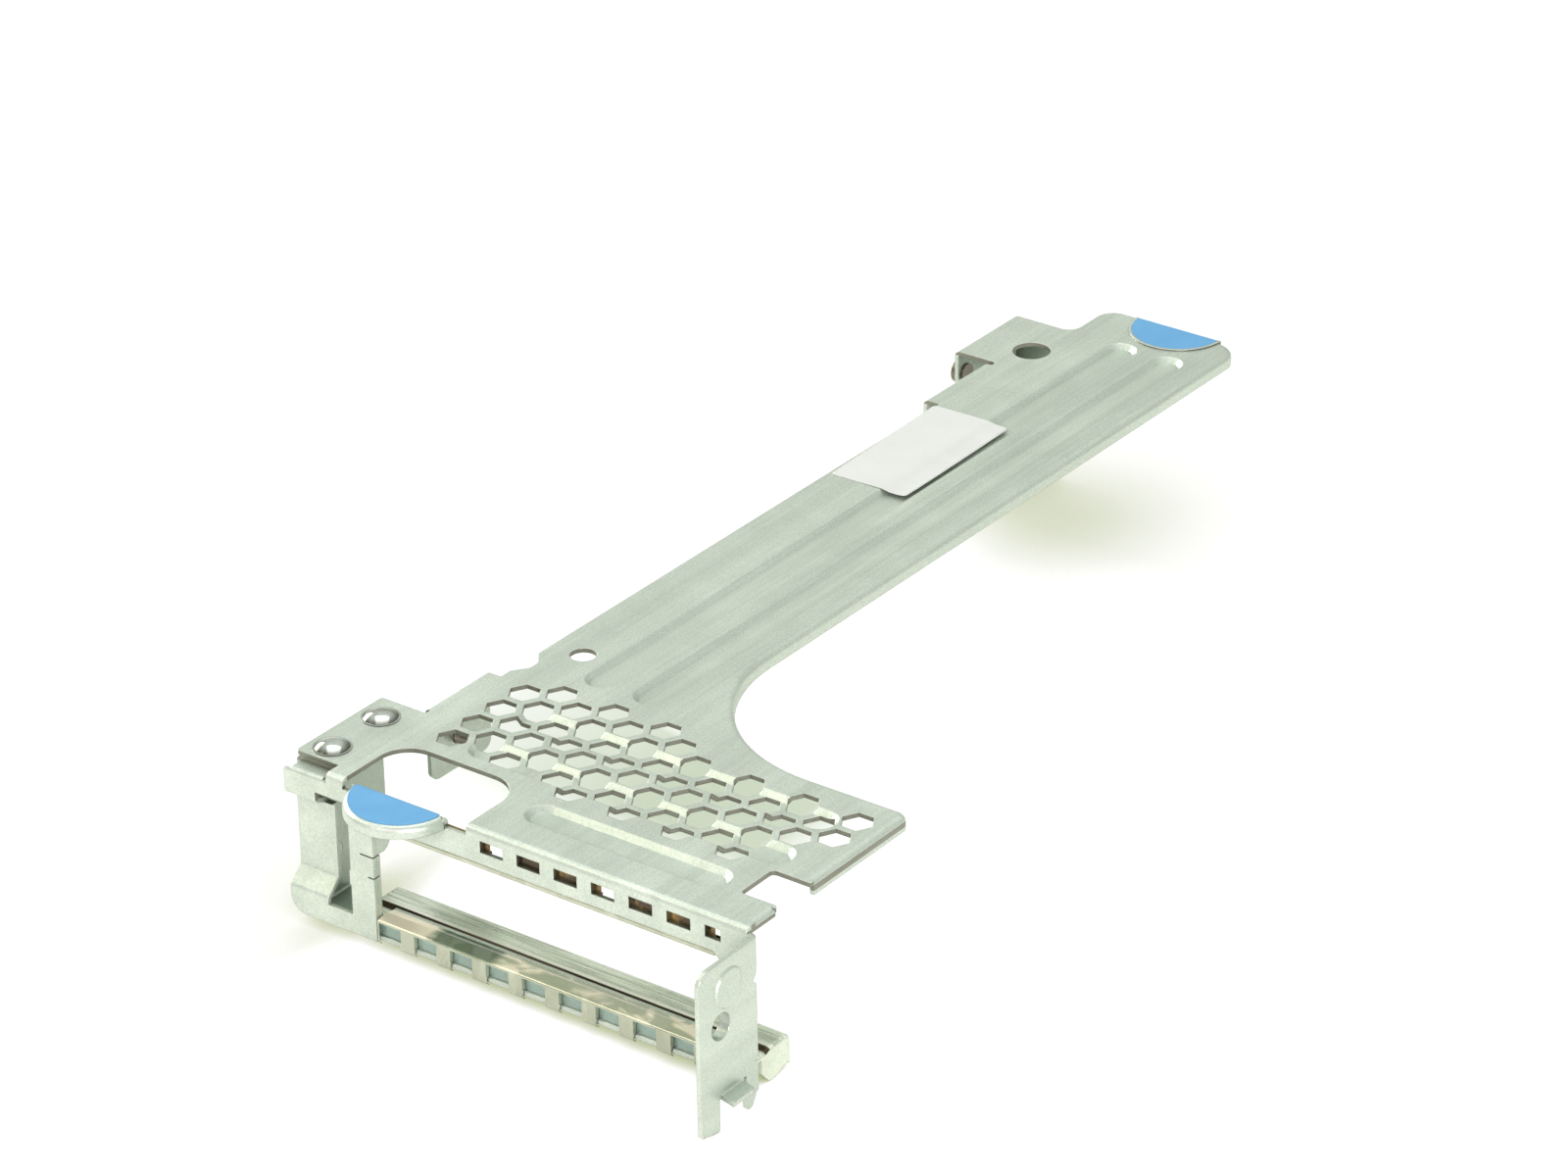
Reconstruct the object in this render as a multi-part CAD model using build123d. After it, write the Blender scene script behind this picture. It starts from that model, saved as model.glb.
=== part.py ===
from build123d import *
import math
import os

# A riser cage bracket for a rack server: one folded plate that carries a riser card at its
# left edge and closes the card slot at the front of the machine.
# While it is built, x = 0 is the left edge of the front column, y = 0 the outside of the front
# face and z = 0 the top of the plate. Written out, the origin is below the middle of the
# part, on the board that it stands on.

# Driving dimensions, in millimetres
SHEET = 1.0
BEND = 0.5
WIDTH = 122.0
LENGTH = 279.8
HEIGHT = 39.5
CONTACT_PITCH = 9.52
VENT_PITCH = 7.94
VENT_ACROSS = 6.4

# Plate outline
EAR_FRONT = 4.3
EAR_REAR = 31.8
EAR_RIGHT = 11.5
CUTOUT_LEFT = 16.0
CUTOUT_RIGHT = 48.7
CUTOUT_REAR = 19.4
FOOT_RIGHT = WIDTH - 2.3
FOOT_REAR = 55.6
FOOT_SWEEP = 38.0
FOOT_CORNER = 2.5
NOTCH_LEFT = WIDTH - 11.7
NOTCH_FRONT = 10.6
NOTCH_REAR = 21.4
ARM_LEFT = 14.9
ARM_RIGHT = 56.0
ARM_CORNER = 6.0
SIDE_LEFT = 10.5
FRONT_SIDE_END = 53.3
ARM_NOTCH_FRONT = FRONT_SIDE_END + 3.2
ARM_NOTCH_REAR = ARM_NOTCH_FRONT + 9.5
ARM_NOTCH_DEPTH = 2.6
ARM_NOTCH_SLOPE = 3.4
REAR_SIDE_END = LENGTH - 41.2
REAR_SIDE_START = REAR_SIDE_END - 24.1
TAB_FRONT = LENGTH - 39.5
TAB_REAR = LENGTH - 15.1
TAB_LEFT = 1.3
SHOULDER_LEFT = 18.4
SHOULDER_CORNERS = (4.5, 3.4)
CUTOUT_CORNERS = (7.0, 8.0)

# Folds of the plate
FLAT_START = SHEET + BEND
RELIEF = 1.0
RIM_DEPTH = 3.2
EAR_RIM_DEPTH = 1.8
SIDE_DEPTH = 17.8
SIDE_ROUND = 2.5
LEG_ROUND = 3.0
LEG_WALL_RIGHT = TAB_LEFT + 13.0

# Beads, holes and vents
BEAD_WIDTH = 8.0
BEAD_DEPTH = 1.2
FOOT_BEADS = (
    (28.5, NOTCH_LEFT - 0.3, 43.0),
    (28.5, NOTCH_LEFT + 0.7, 27.0),
    (55.0, NOTCH_LEFT - 4.3, 12.5),
)
ARM_BEADS = (33.3, 46.2)
ARM_BEAD_START = 61.0
ARM_BEAD_END = LENGTH - 13.3
ACCESS_HOLE = (16.3, LENGTH - 29.4)
ACCESS_RADIUS = 4.5
LOCATING_HOLE = (23.2, 70.9)
LOCATING_RADIUS = 2.9
VENT_START = 23.5
VENT_REAR = 54.54
VENT_ROWS = (
    (1, 3, 5, 7),
    (0, 2, 4, 6),
    (1, 3, 5, 7),
    (0, 2, 4, 6),
    (1, 3, 5, 7),
    (0, 2, 4, 6, 8),
    (1, 3, 5, 7),
    (2, 4, 6, 8),
    (3, 5, 7),
    (2, 4, 6, 8),
    (3, 5, 7),
    (2, 4, 6, 8),
    (3, 5),
    (2, 4),
)

# Front face
STRIP_BOTTOM = -7.9
STRIP_TOP = -2.3
SLOT_LEFT = 23.3
SLOT_RIGHT = WIDTH - 8.7
SLOT_CORNER = 2.0
POST_LEFT = 17.0
BAR_TOP = -HEIGHT + 8.3
BAR_BOTTOM = -HEIGHT + 3.2
BAR_SETBACK = 1.2
LIP_REAR = 6.5
HEM_RADIUS = 0.7
HEM_FRONT = 0.5
FACE_CORNER = 4.0
STRIP_VENT_START = 52.3
STRIP_VENT_TOP = -2.5
STRIP_VENT_BOTTOM = -5.2
STRIP_VENTS = int((FOOT_RIGHT - STRIP_VENT_START) / CONTACT_PITCH)
CONTACTS = int((SLOT_RIGHT - SLOT_LEFT) / CONTACT_PITCH)
CONTACT_WINDOW = 5.9
CONTACT_START = 0.3
CONTACT_EDGE = 0.25

# Column at the left end of the face
TONGUE_SETBACK = 3.7
TONGUE_RIGHT = 10.3
TONGUE_TOP = -7.7
TONGUE_SLOPE = 1.5
TONGUE_BOTTOM = -HEIGHT + 9.0
WINDOW_TOP = -5.5
WINDOW_BOTTOM = -HEIGHT + 7.7
COLUMN_TAB_LEFT = 1.4
COLUMN_TAB_RIGHT = 10.0
COLUMN_TAB_REAR = 14.5
POST_FLANGE_REAR = 5.8
POST_RETURN_REAR = 2.2
POST_SLITS = ((-16.3, 19.8), (-21.3, 21.7))
SLIT = 0.3

# Touch tab and pads
TOUCH_X = 31.0
TOUCH_Y = 1.3
TOUCH_RADIUS = 12.3
TOUCH_LIP = 2.8
TOUCH_TURN = 7.0
PAD_THICK = 0.3
PAD_RADIUS = 11.2
PAD_CORNER = 1.6
REAR_PAD_X = 38.4
REAR_PAD_BEAD = 0.7

# Right flange
FLANGE_FRONT = -18.7
FLANGE_TOP = -1.2
FLANGE_CORNER = 3.2
FLANGE_TAB_REACH = 3.0
FLANGE_TAB_TOP = -HEIGHT + 10.5
FLANGE_TAB_BOTTOM = FLANGE_TAB_TOP - 2.6
FLANGE_TAB_FALL = 1.1
FOOT_GAP = (-12.7, -4.8)
FOOT_GAP_TOP = -HEIGHT + 7.5
FOOT_GAP_STEP = 1.0
SPUR_REAR = -2.2
FLANGE_HOLE = (-11.8, -15.6)
FLANGE_HOLE_RADIUS = 3.0
COLLAR = 1.5
COLLAR_WALL = 0.8
EMBOSS = (-9.0, -8.0)
EMBOSS_RADIUS = 4.5
EMBOSS_WALL = 0.4
EMBOSS_RISE = 0.4
EMBOSS_END = 3.4
RELIEFS = ((-13.0, -8.0), (BAR_TOP - 0.3, BAR_TOP + 4.2))
RELIEF_FRONT = -1.2

# Rail below the slot and gaskets
RAIL_LEFT = 17.5
RAIL_RIGHT = WIDTH - 3.0
RAIL_FRONT = 2.9
RAIL_REAR = 15.0
RAIL_STEP = 0.5
RAIL_STEP_START = LIP_REAR + 0.6
RAIL_STEP_END = LIP_REAR + 1.5
RAIL_CLEARANCE = 1.2
RAIL_END_FRONT = RAIL_FRONT + 2.2
RAIL_HEEL = (7.2, 8.6)
RAIL_HEEL_TOP = -HEIGHT + 2.9
GASKET_SHEET = 0.25
GASKET_CREST = 0.6
GASKET_GAP = 0.2
GASKET_CLIP_START = SLOT_LEFT + 7.9
GASKET_CLIP = 22.8
CLIP_CONTACTS = 3

# Corner bracket and fasteners
CORNER_REAR = 30.2
CORNER_STEP = 3.2
CORNER_WALL_FRONT = 5.2
CORNER_FLOOR_REAR = 17.5
CORNER_FLOOR_RIGHT = 14.0
CORNER_WALL_BOTTOM = -HEIGHT + 4.5
CORNER_ROUND = 4.0
CORNER_HOLE = (12.8, -HEIGHT + 11.0)
CORNER_HOLE_RADIUS = 2.9
RIVET_X = 5.4
RIVET_Y = (9.5, 25.1)
RIVET_HEAD = 3.8
RIVET_SHANK = 2.35
RIVET_HOLE = 2.4
RIVET_RIM = 0.4
RIVET_RIM_THICK = 0.15
RIVET_TAIL = 0.9
RIVET_TAIL_THICK = 0.8
DOME = 1.5
SCREW_Z = -10.5
SCREW_Y = (42.5, (REAR_SIDE_START + REAR_SIDE_END) / 2)
SCREW_RADIUS = 1.5
SCREW_HOLE = 1.65
SCREW_PITCH = 0.5
SCREW_ROOT = 0.28
SCREW_REACH = 4.0
SCREW_HEAD = 2.9
SCREW_HEAD_THICK = 2.2
SCREW_HEAD_ROUND = 0.8
SCREW_DRIVE = (0.8, 0.9)
STUD = (TAB_FRONT + 3.1, -6.5)
STUD_HEAD = (2.9, 1.3)
STUD_TAIL = (2.2, 0.6)

# Label
LABEL_CENTRE = (25.4, REAR_SIDE_START - 22.2)
LABEL_SIZE = (20.5, 42.3)
LABEL_TURN = 1.5
LABEL_THICK = 0.15


def block(x, y, z):
    """A box given by its (low, high) on each axis."""
    size = [high - low for low, high in (x, y, z)]
    low = (x[0], y[0], z[0])
    return Pos(*low) * Box(*size, align=(Align.MIN, Align.MIN, Align.MIN))


def rounded_face(points):
    """A face from (a, b) or (a, b, corner radius) points."""
    radii = [point[2] if len(point) == 3 else 0 for point in points]
    line = FilletPolyline(*[point[:2] for point in points], radius=radii, close=True)
    return make_face(line)


def band(points, sheet, radius):
    """Sheet seen edge on, along its centre line."""
    if len(points) == 2:
        return trace(Line(*points), sheet)
    return trace(FilletPolyline(*points, radius=radius + sheet / 2), sheet)


def along_x(points, x, sheet=SHEET, radius=BEND):
    """Folded sheet that runs along X, from the (y, z) points of its centre line."""
    section = Plane.YZ.offset(x[0]) * band(points, sheet, radius)
    return extrude(section, x[1] - x[0], dir=(1, 0, 0))


def along_y(points, y, sheet=SHEET, radius=BEND):
    """Folded sheet that runs along Y, from the (x, z) points of its centre line."""
    section = Plane.XZ.offset(-y[0]) * band(points, sheet, radius)
    return extrude(section, y[1] - y[0], dir=(0, 1, 0))


def upright(points, z, sheet=SHEET, radius=BEND):
    """Folded sheet that stands along Z, from the (x, y) points of its centre line."""
    section = Plane.XY.offset(z[0]) * band(points, sheet, radius)
    return extrude(section, z[1] - z[0], dir=(0, 0, 1))


def side_plate(points, x):
    """Flat shape in the YZ plane, between two x values."""
    return extrude(Plane.YZ.offset(x[0]) * rounded_face(points), x[1] - x[0], dir=(1, 0, 0))


def side_face(points, y=(0, SHEET)):
    """Flat shape in the plane of the front face, between two y values."""
    section = Plane.XZ.offset(-y[0]) * rounded_face(points)
    return extrude(section, y[1] - y[0], dir=(0, 1, 0))


def rod_x(radius, x, y, z):
    """Round bar along X."""
    section = Plane.YZ.offset(x[0]) * Pos(y, z) * Circle(radius)
    return extrude(section, x[1] - x[0], dir=(1, 0, 0))


def rod_z(radius, x, y, z):
    """Round bar along Z."""
    return extrude(Pos(x, y, z[0]) * Circle(radius), z[1] - z[0], dir=(0, 0, 1))


def edge_round(path, outward):
    """Cutter that rounds a plate's top edge; the path has the outside on its right."""
    reach = SHEET + BEND
    spare = 0.4
    section = make_face(
        Curve()
        + [
            Polyline((-reach, 0), (-reach, -spare), (spare, -spare), (spare, reach), (0, reach)),
            RadiusArc((0, reach), (-reach, 0), reach),
        ]
    )
    start = Plane(origin=path @ 0, x_dir=outward, z_dir=path % 0)
    return sweep(start * section, path=path)


def rim_wall(path, depth):
    """Wall that hangs below the path; its outer half is cut off with the plate's outside."""
    return extrude(trace(path, 2 * SHEET), depth, dir=(0, 0, -1))


def plate_outline():
    """Flat part of the plate; folded edges stop where their bends start."""
    fold = SIDE_LEFT + FLAT_START
    return rounded_face(
        [
            (CUTOUT_RIGHT, FLAT_START),
            (FOOT_RIGHT, FLAT_START),
            (FOOT_RIGHT, NOTCH_FRONT, 1.0),
            (NOTCH_LEFT, NOTCH_FRONT, 1.0),
            (NOTCH_LEFT, NOTCH_REAR, 1.0),
            (FOOT_RIGHT, NOTCH_REAR),
            (FOOT_RIGHT, FOOT_REAR, FOOT_CORNER),
            (ARM_RIGHT, FOOT_REAR, FOOT_SWEEP),
            (ARM_RIGHT, LENGTH, ARM_CORNER),
            (SHOULDER_LEFT, LENGTH, SHOULDER_CORNERS[0]),
            (SHOULDER_LEFT, TAB_REAR, SHOULDER_CORNERS[1]),
            (TAB_LEFT + FLAT_START, TAB_REAR),
            (TAB_LEFT + FLAT_START, TAB_FRONT),
            (fold + RELIEF, TAB_FRONT, 0.8),
            (fold + RELIEF, REAR_SIDE_END, 0.8),
            (fold, REAR_SIDE_END),
            (fold, REAR_SIDE_START),
            (ARM_LEFT, REAR_SIDE_START),
            (ARM_LEFT, ARM_NOTCH_REAR, 1.0),
            (ARM_LEFT + ARM_NOTCH_DEPTH, ARM_NOTCH_REAR - ARM_NOTCH_SLOPE, 1.5),
            (ARM_LEFT + ARM_NOTCH_DEPTH, ARM_NOTCH_FRONT + ARM_NOTCH_SLOPE, 1.5),
            (ARM_LEFT, ARM_NOTCH_FRONT, 1.0),
            (ARM_LEFT, FRONT_SIDE_END, 0.5),
            (fold, FRONT_SIDE_END),
            (fold, EAR_REAR),
            (0, EAR_REAR, 0.8),
            (0, EAR_FRONT, 0.8),
            (EAR_RIGHT, EAR_FRONT),
            (EAR_RIGHT, FLAT_START),
            (CUTOUT_LEFT, FLAT_START),
            (CUTOUT_LEFT, CUTOUT_REAR, CUTOUT_CORNERS[0]),
            (CUTOUT_RIGHT, CUTOUT_REAR, CUTOUT_CORNERS[1]),
        ]
    )


def bead(length, middle, along=0):
    """Pressed channel: the solid that hangs below the plate and the channel to cut out."""
    slope = math.sqrt(2) * SHEET - SHEET / 2
    place = Pos(middle[0], middle[1]) * Rot(0, 0, along)
    outside = SlotOverall(length + 2 * slope, BEAD_WIDTH + 2 * slope)
    pan = extrude(Pos(0, 0, -SHEET / 2) * outside, -(BEAD_DEPTH + SHEET / 2), taper=45)
    channel = extrude(SlotOverall(length, BEAD_WIDTH), -BEAD_DEPTH, taper=45)
    return place * pan, place * channel


def plate_beads():
    """The three beads across the foot and the two along the arm."""
    beads = [bead(end - start, ((start + end) / 2, y)) for start, end, y in FOOT_BEADS]
    arm_length = ARM_BEAD_END - ARM_BEAD_START
    arm_middle = (ARM_BEAD_START + ARM_BEAD_END) / 2
    return beads + [bead(arm_length, (x, arm_middle), 90) for x in ARM_BEADS]


def vent_field():
    """Honeycomb vents: staggered columns of hexagons with flats parallel to X."""
    column_step = VENT_PITCH * math.cos(math.radians(30))
    row_step = VENT_PITCH / 2
    columns = int((FOOT_RIGHT - VENT_START) / column_step) + 1
    hexagon = RegularPolygon(VENT_ACROSS / 2, 6, major_radius=False)
    places = [
        Pos(VENT_START + column_step * column, VENT_REAR - row_step * row)
        for column, rows in enumerate(VENT_ROWS[:columns])
        for row in rows
    ]
    cutters = Sketch() + [place * hexagon for place in places]
    depth = SHEET + BEAD_DEPTH + 1
    return extrude(Pos(0, 0, 1) * cutters, depth + 1, dir=(0, 0, -1))


def plate_rims(outline):
    """Turned-down rims along the arm, the foot and the small front ear, with their roundings."""
    prism = extrude(outline, RIM_DEPTH, dir=(0, 0, -1))
    long_path = FilletPolyline(
        (FOOT_RIGHT, NOTCH_REAR + 1),
        (FOOT_RIGHT, FOOT_REAR),
        (ARM_RIGHT, FOOT_REAR),
        (ARM_RIGHT, LENGTH),
        (REAR_PAD_X + PAD_RADIUS, LENGTH),
        radius=(FOOT_CORNER, FOOT_SWEEP, ARM_CORNER),
    )
    ear_path = Line((FOOT_RIGHT, FLAT_START), (FOOT_RIGHT, NOTCH_FRONT - 1))
    walls = [rim_wall(long_path, RIM_DEPTH) & prism, rim_wall(ear_path, EAR_RIM_DEPTH) & prism]
    rounds = [edge_round(path, (1, 0, 0)) for path in (long_path, ear_path)]
    return walls, rounds


def side_flange(start, end):
    """Flange folded down along the arm's left side, with a hole for a riser screw."""
    middle = SIDE_LEFT + SHEET / 2
    fold = along_y([(SIDE_LEFT + 4, -SHEET / 2), (middle, -SHEET / 2), (middle, -SIDE_DEPTH)], (start, end))
    shape = side_plate(
        [(start, 1), (end, 1), (end, -SIDE_DEPTH, SIDE_ROUND), (start, -SIDE_DEPTH, SIDE_ROUND)],
        (SIDE_LEFT - 1, SIDE_LEFT + 5),
    )
    return fold & shape


def rear_leg():
    """Leg folded down from the rear tab to the board, its rear edge turned in as a wall."""
    middle = TAB_LEFT + SHEET / 2
    points = [(TAB_LEFT + 4, -SHEET / 2), (middle, -SHEET / 2), (middle, -HEIGHT)]
    shape = side_plate(
        [
            (TAB_FRONT, 1),
            (TAB_REAR, 1),
            (TAB_REAR, -HEIGHT),
            (TAB_FRONT, -HEIGHT, LEG_ROUND),
        ],
        (TAB_LEFT - 1, TAB_LEFT + 5),
    )
    leg = along_y(points, (TAB_FRONT, TAB_REAR - FLAT_START)) & shape
    leg += along_y(points[:2] + [(middle, -2 * SHEET)], (TAB_REAR - FLAT_START, TAB_REAR))
    rear = TAB_REAR - SHEET / 2
    turn = [(middle, rear - FLAT_START), (middle, rear), (LEG_WALL_RIGHT, rear)]
    wall = upright(turn, (-HEIGHT, -2 * SHEET))
    corner = side_face(
        [
            (TAB_LEFT, 0),
            (LEG_WALL_RIGHT, 0),
            (LEG_WALL_RIGHT, -HEIGHT, LEG_ROUND),
            (TAB_LEFT, -HEIGHT),
        ],
        (TAB_FRONT, TAB_REAR),
    )
    return leg + (wall & corner)


def front_strip():
    """Strip of the face above the slot, with its bends up to the plate."""
    middle = SHEET / 2
    bend = [(3, -middle), (middle, -middle), (middle, STRIP_BOTTOM)]
    strip = along_x(bend, (CUTOUT_RIGHT, FOOT_RIGHT))
    strip += along_x(bend[:2] + [(middle, WINDOW_TOP)], (EAR_RIGHT, CUTOUT_LEFT))
    strip += block((CUTOUT_LEFT, CUTOUT_RIGHT), (0, SHEET), (STRIP_BOTTOM, STRIP_TOP))
    strip += block((POST_LEFT, SLOT_LEFT), (0, SHEET), (WINDOW_BOTTOM - 1, STRIP_BOTTOM + 1))
    corner = [
        (SLOT_RIGHT - SLOT_CORNER, STRIP_BOTTOM),
        (SLOT_RIGHT, STRIP_BOTTOM),
        (SLOT_RIGHT, STRIP_BOTTOM - SLOT_CORNER),
    ]
    strip += side_face(corner)
    for index in range(STRIP_VENTS):
        left = STRIP_VENT_START + CONTACT_PITCH * index
        strip -= block((left, left + CONTACT_WINDOW), (-1, 2), (STRIP_VENT_BOTTOM, STRIP_VENT_TOP))
    return strip


def column():
    """Left end of the face: upper face, set-back tongue and lower face, one sheet pressed back."""
    middle = SHEET / 2
    back = middle + TONGUE_SETBACK
    tongue = along_x(
        [
            (middle, STRIP_TOP),
            (middle, TONGUE_TOP),
            (back, TONGUE_TOP - TONGUE_SLOPE),
            (back, TONGUE_BOTTOM + TONGUE_SETBACK),
            (middle, TONGUE_BOTTOM),
            (middle, BAR_BOTTOM),
        ],
        (0, TONGUE_RIGHT),
    )
    slit = (TONGUE_RIGHT - 2, TONGUE_RIGHT + 1)
    tongue -= block(slit, (-1, TONGUE_SETBACK + 2), (TONGUE_TOP - TONGUE_SLOPE, WINDOW_TOP))
    upper = block((TONGUE_RIGHT - 2, POST_LEFT), (0, SHEET), (WINDOW_TOP, STRIP_TOP))
    tab = along_x(
        [(COLUMN_TAB_REAR, -2.5 * SHEET), (middle, -2.5 * SHEET), (middle, WINDOW_TOP)],
        (COLUMN_TAB_LEFT, COLUMN_TAB_RIGHT),
    )
    outline = [(0, BAR_BOTTOM, FACE_CORNER), (SLOT_LEFT, BAR_BOTTOM), (SLOT_LEFT, 0), (0, 0)]
    tongue &= side_face(outline, (-1, TONGUE_SETBACK + 2))
    lower = side_face(outline) & block((0, SLOT_LEFT), (0, SHEET), (BAR_BOTTOM, WINDOW_BOTTOM))
    return tongue + upper + tab + lower


def post_flange():
    """Flange folded back along the post's right edge, parted by two slits."""
    middle = SHEET / 2
    edge = SLOT_LEFT - middle
    upper_slit = POST_SLITS[0][0]
    turn = [(POST_LEFT + 2, middle), (edge, middle)]
    deep = upright(turn + [(edge, POST_FLANGE_REAR)], (upper_slit, WINDOW_TOP))
    deep &= side_plate(
        [
            (-1, WINDOW_TOP),
            (POST_FLANGE_REAR, WINDOW_TOP),
            (POST_FLANGE_REAR, upper_slit, 3.0),
            (-1, upper_slit),
        ],
        (POST_LEFT, SLOT_LEFT + 1),
    )
    return deep + upright(turn + [(edge, POST_RETURN_REAR)], (BAR_TOP, upper_slit))


def lower_bar():
    """Bar below the slot: set back behind the face, with a lip above and a hem below."""
    front = BAR_SETBACK + SHEET / 2
    right = SLOT_RIGHT + 1
    lip = along_x(
        [(LIP_REAR, BAR_TOP - SHEET / 2), (front, BAR_TOP - SHEET / 2), (front, BAR_BOTTOM + HEM_RADIUS)],
        (SLOT_LEFT, right),
    )
    hem = rod_x(HEM_RADIUS, (SLOT_LEFT, right), HEM_FRONT + HEM_RADIUS, BAR_BOTTOM + HEM_RADIUS)
    joggles = [
        block((left, left + SHEET), (0, BAR_SETBACK + SHEET), (BAR_BOTTOM, BAR_TOP - SHEET / 2))
        for left in (SLOT_LEFT - SHEET, SLOT_RIGHT)
    ]
    return lip + hem + joggles


def flange_feet():
    """Side view of the right flange: a long foot in front, a notch and a short spur behind it."""
    gap_front, gap_rear = FOOT_GAP
    spur_front = gap_rear + 0.8
    spur_bottom = -HEIGHT + 0.4
    return [
        (2, FLANGE_TOP),
        (FLANGE_FRONT, FLANGE_TOP, FLANGE_CORNER),
        (FLANGE_FRONT, -HEIGHT + 1.2, 0.8),
        (gap_front, -HEIGHT, 0.6),
        (gap_front, FOOT_GAP_TOP, 0.5),
        (gap_rear, FOOT_GAP_TOP),
        (gap_rear, FOOT_GAP_TOP + FOOT_GAP_STEP),
        (spur_front, FOOT_GAP_TOP + FOOT_GAP_STEP),
        (spur_front, spur_bottom, 0.8),
        (SPUR_REAR, spur_bottom, 0.8),
        (SPUR_REAR / 4, BAR_BOTTOM),
        (2, BAR_BOTTOM),
    ]


def flange_tab():
    """Small tab bent outward from the notch between the flange's feet."""
    reach = WIDTH + FLANGE_TAB_REACH
    outside = WIDTH - SHEET / 2
    line = [
        (outside, FLANGE_TAB_TOP),
        (outside, FLANGE_TAB_BOTTOM),
        (reach + 1, FLANGE_TAB_BOTTOM - FLANGE_TAB_FALL),
    ]
    gap_front, gap_rear = FOOT_GAP
    tab = along_y(line, (gap_front + 0.5, gap_rear - 0.6), radius=0.4)
    return tab & block((WIDTH - 2, reach), FOOT_GAP, (-HEIGHT, FLANGE_TOP))


def flange_emboss():
    """Half-round emboss in the flange: what stands proud, and the hollow behind it."""
    y, z = EMBOSS
    reach = 2 * EMBOSS_RADIUS
    half = block((WIDTH - 4, WIDTH + 4), (y - reach, y + EMBOSS_END), (z - reach, z + reach))
    crown = EMBOSS_RADIUS - EMBOSS_RISE
    boss = extrude(Plane.YZ.offset(WIDTH) * Pos(y, z) * Circle(EMBOSS_RADIUS), EMBOSS_RISE, taper=45)
    boss += rod_x(crown, (WIDTH - SHEET / 2, WIDTH + EMBOSS_RISE), y, z)
    hollow = rod_x(crown - EMBOSS_WALL, (WIDTH - 2 * SHEET, WIDTH - SHEET + EMBOSS_RISE), y, z)
    return boss & half, hollow & half


def right_flange():
    """Flange folded forward at the face's right end, with its feet, screw collar and emboss."""
    middle = SHEET / 2
    outside = WIDTH - middle
    turn = [(SLOT_RIGHT, middle), (outside, middle), (outside, FLANGE_FRONT)]
    flange = upright(turn, (-HEIGHT, FLANGE_TOP)) & side_plate(flange_feet(), (SLOT_RIGHT, WIDTH + 1))
    flange += block((SLOT_RIGHT, FOOT_RIGHT), (0, SHEET), (BAR_BOTTOM, FLANGE_TOP))
    flange += flange_tab()
    collar = (WIDTH - SHEET - COLLAR, WIDTH - SHEET)
    flange += rod_x(FLANGE_HOLE_RADIUS + COLLAR_WALL, collar, *FLANGE_HOLE)
    boss, hollow = flange_emboss()
    flange = flange + boss - hollow - rod_x(FLANGE_HOLE_RADIUS, (WIDTH - 5, WIDTH + 1), *FLANGE_HOLE)
    for bottom, top in RELIEFS:
        relief = [(1.5, bottom), (1.5, top), (RELIEF_FRONT, (bottom + top) / 2)]
        flange -= side_plate(relief, (WIDTH - 2.2 * SHEET, WIDTH + 1))
    return flange


def touch_tab():
    """Half-round tab folded forward from the strip, with a turned-down lip."""
    middle = SHEET / 2
    front = TOUCH_Y - TOUCH_RADIUS - 1
    outside = (TOUCH_X - TOUCH_RADIUS, TOUCH_X + TOUCH_RADIUS)
    tab = along_x([(middle, STRIP_TOP - 1), (middle, -middle), (front, -middle)], outside)
    tab &= rod_z(TOUCH_RADIUS, TOUCH_X, TOUCH_Y, (STRIP_TOP - 1, 1))
    edge = CenterArc((TOUCH_X, TOUCH_Y), TOUCH_RADIUS, 180 + TOUCH_TURN, 180 - 2 * TOUCH_TURN)
    lip = extrude(trace(edge, 2 * SHEET), TOUCH_LIP, dir=(0, 0, -1))
    lip &= rod_z(TOUCH_RADIUS, TOUCH_X, TOUCH_Y, (-TOUCH_LIP, 0))
    turn = math.radians(180 + TOUCH_TURN)
    return tab + lip - edge_round(edge, (math.cos(turn), math.sin(turn), 0))


def cage_frame():
    """The folded plate: everything that is one piece of sheet."""
    outline = plate_outline()
    walls, rounds = plate_rims(outline)
    plate = extrude(outline, SHEET, dir=(0, 0, -1)) + walls
    for cutter in rounds:
        plate -= cutter
    rim_line = Pos(REAR_PAD_X, LENGTH) * (Circle(PAD_RADIUS + REAR_PAD_BEAD) - Circle(PAD_RADIUS))
    rim_line = extrude(rim_line, SHEET / 2 + PAD_THICK, dir=(0, 0, 1))
    rear = block((0, WIDTH), (LENGTH - 2 * PAD_RADIUS, LENGTH), (-1, 1))
    plate += (Pos(0, 0, -SHEET / 2) * rim_line) & rear
    pans, channels = zip(*plate_beads())
    plate = plate + list(pans) - list(channels) - vent_field()
    folds = [
        side_flange(EAR_REAR + 1.6, FRONT_SIDE_END),
        side_flange(REAR_SIDE_START, REAR_SIDE_END),
        rear_leg(),
        front_strip(),
        column(),
        post_flange(),
        lower_bar(),
        right_flange(),
        touch_tab(),
    ]
    frame = plate + folds
    for slit, left in POST_SLITS:
        depth = (-1, POST_FLANGE_REAR + 1)
        frame -= block((left, SLOT_LEFT + 1), depth, (slit - SLIT / 2, slit + SLIT / 2))
    for x, y, radius in (ACCESS_HOLE + (ACCESS_RADIUS,), LOCATING_HOLE + (LOCATING_RADIUS,)):
        frame -= rod_z(radius, x, y, (-2, 1))
    for y in RIVET_Y:
        frame -= rod_z(RIVET_HOLE, RIVET_X, y, (-4, 1))
    for y in SCREW_Y:
        frame -= rod_x(SCREW_HOLE, (SIDE_LEFT - 1, SIDE_LEFT + 2), y, SCREW_Z)
    frame -= rod_x(SCREW_HOLE, (TAB_LEFT - 1, TAB_LEFT + 2), *STUD)
    return frame


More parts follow.
